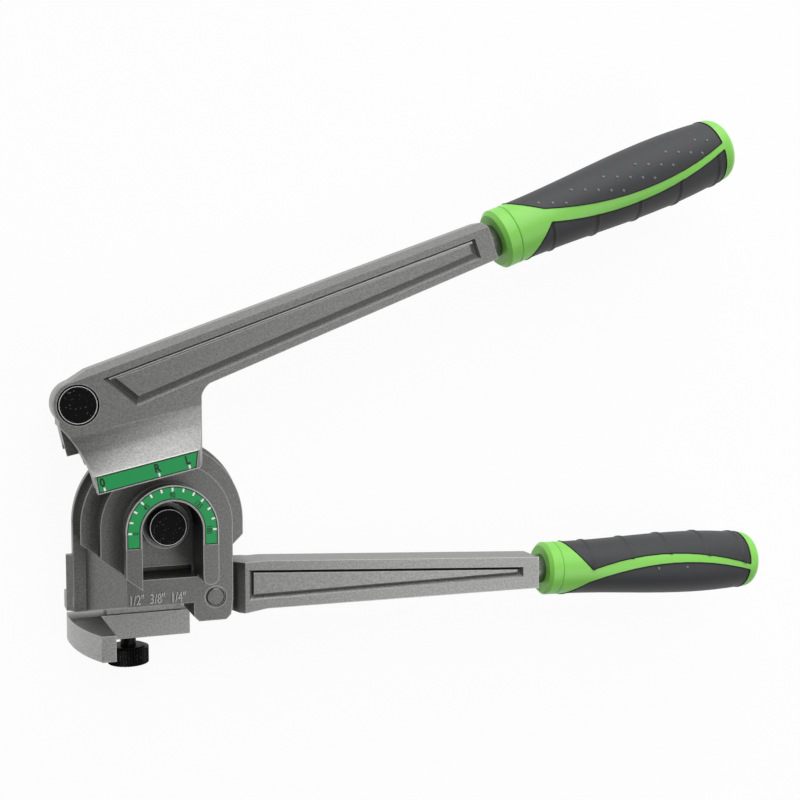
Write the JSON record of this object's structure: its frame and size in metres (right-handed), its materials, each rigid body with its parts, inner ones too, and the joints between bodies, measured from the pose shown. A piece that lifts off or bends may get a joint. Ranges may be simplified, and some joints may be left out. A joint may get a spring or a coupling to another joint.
{
  "type": "lever tube bender",
  "caption": "Hand-lever tube bender with a stepped grooved former, a hinged lever with a matching stepped shoe, an angle dial, a sliding tube clamp and soft two-colour grips.",
  "frame": {"origin": "on the bend axis, at the rear end of the centre pin, which is the plane that the tool's back rests on", "axes": "+X along the lower handle towards its grip, +Y from the lower handle towards the upper one, +Z from the back of the tool towards its dial"},
  "size_m": [0.3844, 0.2792, 0.0559],
  "materials": {
    "casting": "grey metallic paint over a fine cast grain",
    "black_steel": "black oxide",
    "steel": "plain",
    "bronze": "plain sintered bronze",
    "dial": "green satin print",
    "grip": "lime satin",
    "pad": "soft dark grey"
  },
  "bodies": {
    "base": {"former": "casting", "angle_dial": "dial", "centre_pin": "black_steel", "centre_pin_clip": "steel", "handle_lock_pin": "casting", "lower_arm": "casting", "lower_grip_core": "grip", "lower_palm_pad": "pad", "lower_finger_pad": "pad"},
    "link_arm": {"link": "casting", "link_bush": "bronze", "eye_pin": "black_steel", "eye_pin_clip": "steel"},
    "lever": {"forming_lever": "casting", "lever_bush": "bronze", "mark_strip": "dial", "upper_grip_core": "grip", "upper_palm_pad": "pad", "upper_finger_pad": "pad"},
    "clamp": {"tube_clamp": "casting", "clamp_nut": "steel"},
    "screw": {"thumbscrew": "black_steel"}
  },
  "joints": [
    {"name": "link_swing", "type": "hinge", "parent": "base", "child": "link_arm", "pos_m": [0, 0, 0.0057], "axis": [0, 0, 1], "range_deg": [-24, 84]},
    {"name": "lever_tilt", "type": "hinge", "parent": "link_arm", "child": "lever", "pos_m": [-0.04122, 0.05952, 0.037], "axis": [0, 0, 1], "range_deg": [-6.5, 95]},
    {"name": "clamp_slide", "type": "slide", "parent": "base", "child": "clamp", "axis": [-1, 0, 0], "range_m": [0, 0.02]},
    {"name": "thumbscrew_turn", "type": "hinge", "parent": "clamp", "child": "screw", "pos_m": [-0.0148, -0.066, 0.0102], "axis": [0, 1, 0], "continuous": true}
  ]
}
